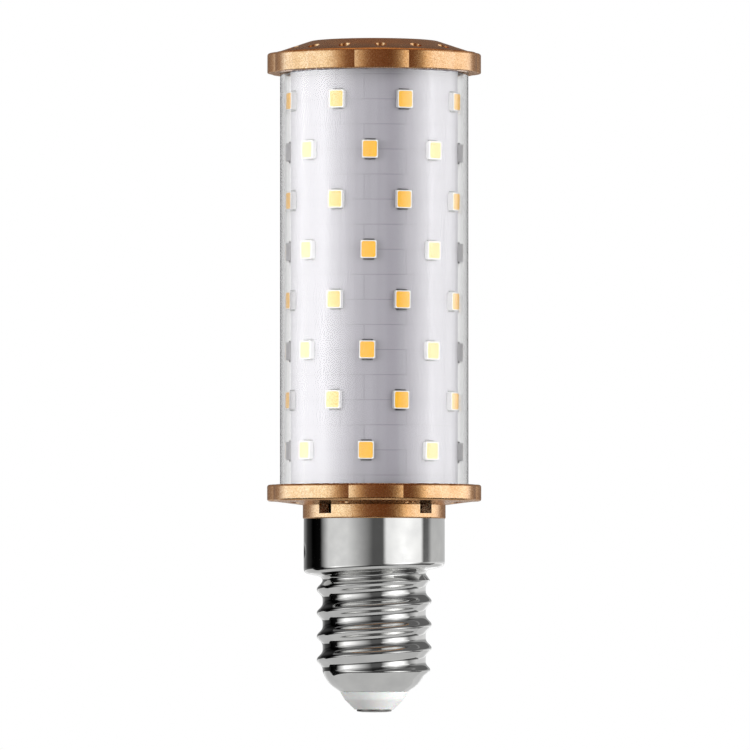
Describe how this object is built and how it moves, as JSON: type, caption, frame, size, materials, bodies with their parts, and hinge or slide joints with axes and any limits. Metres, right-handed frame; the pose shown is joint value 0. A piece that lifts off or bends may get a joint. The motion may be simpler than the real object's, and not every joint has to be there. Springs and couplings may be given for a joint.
{
  "type": "corn led bulb",
  "caption": "Slim screw-base bulb: rings of small lamps on a rolled board inside a clear tube, between two lobed copper-coloured caps.",
  "frame": {"origin": "centre of the lower face of the centre contact", "axes": "+Z along the bulb from the contact to the top cap, -Y the side the picture shows"},
  "size_m": [0.0258, 0.0258, 0.0808],
  "materials": {
    "plated_steel": "bright nickel plate on rolled sheet",
    "white_insulator": "moulded, semi-gloss",
    "tinned_contact": "tinned, satin",
    "copper_painted_plastic": "metallic copper-gold paint",
    "clear_plastic": "clear extruded tube, polished",
    "white_board": "white solder mask on metal-core sheet",
    "green_board": "green solder mask",
    "black_package": "moulded",
    "fuse_body": "lacquered barrel",
    "capacitor_sleeve": "drawn can",
    "red_wire": "insulated wire",
    "black_wire": "insulated wire",
    "lamp_case": "moulded white",
    "phosphor": "yellow silicone fill"
  },
  "bodies": {
    "root": {"base_cap": "copper_painted_plastic", "bridge_rectifier": "black_package", "centre_contact": "tinned_contact", "chip_resistors": "black_package", "clear_tube": "clear_plastic", "driver_board": "green_board", "driver_chip": "black_package", "fuse_resistor": "fuse_body", "insulator": "white_insulator", "led_board": "white_board", "led_body_row_1": "lamp_case", "led_body_row_2": "lamp_case", "led_body_row_3": "lamp_case", "led_body_row_4": "lamp_case", "led_body_row_5": "lamp_case", "led_body_row_6": "lamp_case", "led_body_row_7": "lamp_case", "led_body_row_8": "lamp_case", "led_minus_wire": "black_wire", "led_plus_wire": "red_wire", "live_wire": "red_wire", "neutral_wire": "black_wire", "phosphor_row_1": "phosphor", "phosphor_row_2": "phosphor", "phosphor_row_3": "phosphor", "phosphor_row_4": "phosphor", "phosphor_row_5": "phosphor", "phosphor_row_6": "phosphor", "phosphor_row_7": "phosphor", "phosphor_row_8": "phosphor", "screw_shell": "plated_steel", "smoothing_capacitor": "capacitor_sleeve", "top_cap": "copper_painted_plastic"}
  },
  "joints": []
}
